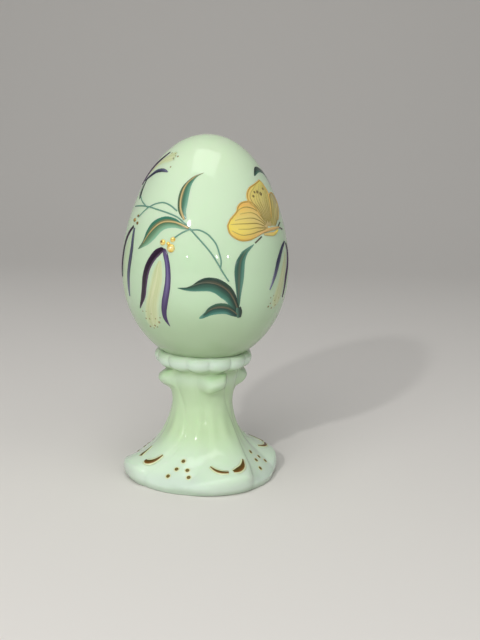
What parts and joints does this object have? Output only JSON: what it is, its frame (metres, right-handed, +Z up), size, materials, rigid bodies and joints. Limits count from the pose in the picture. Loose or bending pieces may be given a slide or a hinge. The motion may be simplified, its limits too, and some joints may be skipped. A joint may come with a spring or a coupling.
{
  "type": "painted glass egg on pedestal",
  "caption": "Decorative glass egg with raised enamel flowers, leaves and a butterfly, standing in the cup of a scalloped pressed glass pedestal foot.",
  "frame": {"origin": "centre of the ring that the pedestal stands on, at table height", "axes": "+Z up along the egg's long axis, -Y towards the side with the front blossom, +X towards the side with the butterfly"},
  "size_m": [0.046, 0.0467, 0.095],
  "materials": {
    "jade_glass": "polished",
    "purple_enamel": "satin",
    "cream_enamel": "satin",
    "green_enamel": "satin",
    "yellow_enamel": "satin",
    "raised_gold": "polished",
    "foot_gilding": "satin"
  },
  "bodies": {
    "stand": {"pedestal": "jade_glass", "foot_crescents": "foot_gilding", "foot_dots": "foot_gilding"},
    "egg": {"egg_shell": "jade_glass", "petals_front": "purple_enamel", "pouch_front": "cream_enamel", "petals_left": "purple_enamel", "pouch_left": "cream_enamel", "petals_upper": "purple_enamel", "pouch_upper": "cream_enamel", "petals_right": "purple_enamel", "pouch_right": "cream_enamel", "petals_back": "purple_enamel", "pouch_back": "cream_enamel", "leaf_upright": "green_enamel", "leaf_drooping": "green_enamel", "leaf_tall": "green_enamel", "leaf_long": "green_enamel", "leaf_short": "green_enamel", "leaf_edge": "green_enamel", "leaves_back": "green_enamel", "stems_upper": "green_enamel", "stems_lower": "green_enamel", "stems_back": "green_enamel", "buds_front": "raised_gold", "buds_left": "raised_gold", "buds_back": "raised_gold", "butterfly_forewing": "yellow_enamel", "butterfly_hindwing": "yellow_enamel", "butterfly_far_wing": "yellow_enamel", "butterfly_body": "yellow_enamel"}
  },
  "joints": [
    {"name": "egg_lift", "type": "slide", "parent": "stand", "child": "egg", "axis": [0, 0, 1], "range_m": [0, 0.04]}
  ]
}
